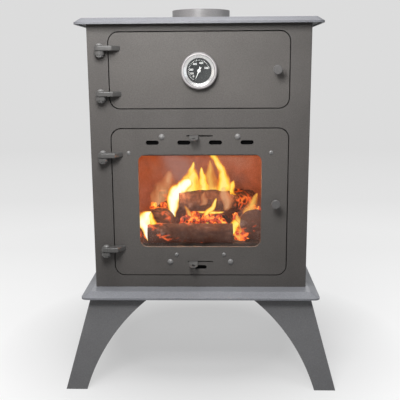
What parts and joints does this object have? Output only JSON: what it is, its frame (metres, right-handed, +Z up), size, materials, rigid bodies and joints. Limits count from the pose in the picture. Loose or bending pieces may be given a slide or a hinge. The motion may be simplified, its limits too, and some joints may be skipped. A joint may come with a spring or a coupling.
{
  "type": "wood stove",
  "caption": "Free-standing wood stove with an oven above a glazed firebox, flue collar, splayed plate legs, hinged doors with turn latches, sliding air vents and an oven thermometer.",
  "frame": {"origin": "on the floor, in the middle of the four feet", "axes": "+Z up, -Y is the front with the doors, +X to the right as seen from the front"},
  "size_m": [0.562, 0.537, 0.785],
  "materials": {
    "bare_steel": "heat-stained steel",
    "fastener_paint": "satin heat-resistant paint",
    "firebrick": "porous refractory board",
    "gauge_bezel": "polished stainless",
    "gauge_case": "drawn steel",
    "gauge_dial": "printed black",
    "gauge_lens": "clear glass",
    "gauge_needle": "white lacquer",
    "gauge_ring": "polished stainless",
    "grate_iron": "rough cast",
    "knob_paint": "matte black",
    "leg_paint": "matte heat-resistant paint",
    "plate_paint": "matte heat-resistant paint",
    "rack_wire": "bright wire",
    "rope_seal": "braided fibre rope",
    "stove_paint": "matte heat-resistant paint",
    "window_glass": "clear ceramic glass",
    "zinc_hardware": "satin zinc"
  },
  "bodies": {
    "root": {"base_plate": "plate_paint", "top_plate": "plate_paint", "front_plate": "stove_paint", "side_panel_left": "stove_paint", "side_panel_right": "stove_paint", "back_panel": "stove_paint", "leg_front_left": "leg_paint", "leg_front_right": "leg_paint", "leg_rear_left": "leg_paint", "leg_rear_right": "leg_paint", "flue_collar": "stove_paint", "oven_door_frame": "bare_steel", "fire_door_frame": "bare_steel", "hinge_lugs": "stove_paint", "hinge_bolts": "fastener_paint", "hinge_nuts": "fastener_paint", "oven_box": "bare_steel", "rack_runners": "bare_steel", "oven_rack": "rack_wire", "firebox_floor": "bare_steel", "firebrick_left": "firebrick", "firebrick_right": "firebrick", "firebrick_rear": "firebrick", "grate_ledges": "bare_steel", "fire_grate": "grate_iron", "ash_pan": "bare_steel", "baffle_plate": "bare_steel"},
    "oven_door": {"oven_door_plate": "stove_paint", "oven_door_straps": "stove_paint", "oven_door_seal": "rope_seal", "oven_latch_bush": "bare_steel", "thermometer_case": "gauge_case", "thermometer_dial": "gauge_dial", "thermometer_inner_ring": "gauge_ring", "thermometer_lens": "gauge_lens", "thermometer_bezel": "gauge_bezel", "thermometer_stem": "zinc_hardware", "thermometer_nut": "zinc_hardware"},
    "thermometer_needle": {"thermometer_needle": "gauge_needle"},
    "oven_latch": {"oven_knob": "knob_paint", "oven_latch_tongue": "bare_steel", "oven_latch_nut": "zinc_hardware"},
    "fire_door": {"fire_door_plate": "stove_paint", "fire_door_straps": "stove_paint", "fire_door_seal": "rope_seal", "fire_latch_bush": "bare_steel", "window_glass": "window_glass", "glass_gasket": "rope_seal", "glass_clip_top": "bare_steel", "glass_clip_bottom": "bare_steel", "glass_screws": "fastener_paint", "glass_screw_nuts": "zinc_hardware", "slider_guide_bolts": "fastener_paint", "slider_guide_nuts": "zinc_hardware"},
    "upper_air_slider": {"upper_air_slider": "stove_paint"},
    "lower_air_slider": {"lower_air_slider": "stove_paint"},
    "fire_latch": {"fire_knob": "knob_paint", "fire_latch_tongue": "bare_steel", "fire_latch_nut": "zinc_hardware"}
  },
  "joints": [
    {"name": "oven_door_hinge", "type": "hinge", "parent": "root", "child": "oven_door", "pos_m": [-0.198, -0.2008, 0.6537], "axis": [0, 0, -1], "range_deg": [0, 160]},
    {"name": "fire_door_hinge", "type": "hinge", "parent": "root", "child": "fire_door", "pos_m": [-0.198, -0.2008, 0.3849], "axis": [0, 0, -1], "range_deg": [0, 160]},
    {"name": "oven_latch_turn", "type": "hinge", "parent": "oven_door", "child": "oven_latch", "pos_m": [0.156, -0.1878, 0.655], "axis": [0, -1, 0], "range_deg": [0, 90]},
    {"name": "fire_latch_turn", "type": "hinge", "parent": "fire_door", "child": "fire_latch", "pos_m": [0.156, -0.1878, 0.383], "axis": [0, -1, 0], "range_deg": [0, 90]},
    {"name": "upper_air_slide", "type": "slide", "parent": "fire_door", "child": "upper_air_slider", "axis": [1, 0, 0], "range_m": [-0.006, 0.029]},
    {"name": "lower_air_slide", "type": "slide", "parent": "fire_door", "child": "lower_air_slider", "axis": [1, 0, 0], "range_m": [-0.0028, 0.0322]},
    {"name": "thermometer_needle_turn", "type": "hinge", "parent": "oven_door", "child": "thermometer_needle", "pos_m": [0, -0.1878, 0.6536], "axis": [0, 1, 0], "range_deg": [0, 230]}
  ]
}
